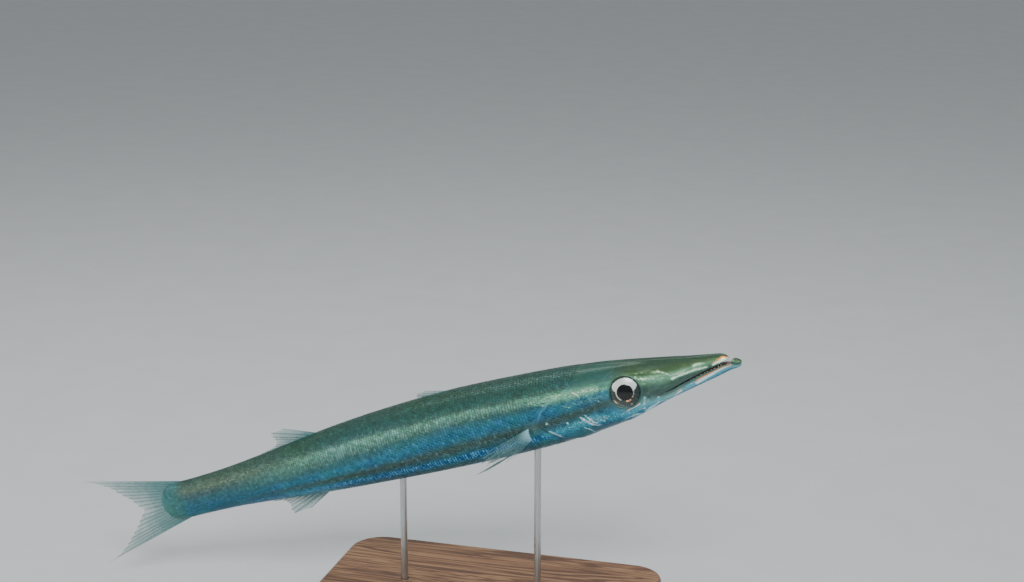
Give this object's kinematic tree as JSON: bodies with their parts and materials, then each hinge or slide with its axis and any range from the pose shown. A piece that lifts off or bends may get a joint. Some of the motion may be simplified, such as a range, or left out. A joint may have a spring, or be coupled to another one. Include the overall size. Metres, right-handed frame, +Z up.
{
  "type": "barracuda",
  "caption": "Life-size still model of a slender predatory sea fish with long jaws, large eyes and a forked tail, held nose-up on slim rods over a flat base.",
  "frame": {"origin": "middle of the whole model's box, on the surface that the base stands on", "axes": "+X towards the head, +Y to the fish's left, +Z up"},
  "size_m": [0.3188, 0.092, 0.1372],
  "materials": {
    "scaled_back": "wet scales, olive-green with a pearly sheen",
    "silver_skin": "wet smooth skin, silvery blue and pink",
    "eye": "clear wet cornea over a pearly iris and black pupil",
    "fin": "thin translucent membrane over bony rays",
    "stand_wood": "satin dark walnut",
    "stand_steel": "satin"
  },
  "bodies": {
    "root": {"head": "silver_skin", "lower_jaw": "silver_skin", "gill_cover_left": "silver_skin", "gill_cover_right": "silver_skin", "trunk": "scaled_back", "tail": "scaled_back", "eye_left": "eye", "eye_right": "eye", "dorsal_fin_first": "fin", "dorsal_fin_second": "fin", "anal_fin": "fin", "pectoral_fin_left": "fin", "pectoral_fin_right": "fin", "pelvic_fin_left": "fin", "pelvic_fin_right": "fin", "tail_fin_upper": "fin", "tail_fin_lower": "fin", "stand_base": "stand_wood", "stand_rod_front": "stand_steel", "stand_rod_rear": "stand_steel"}
  },
  "joints": []
}
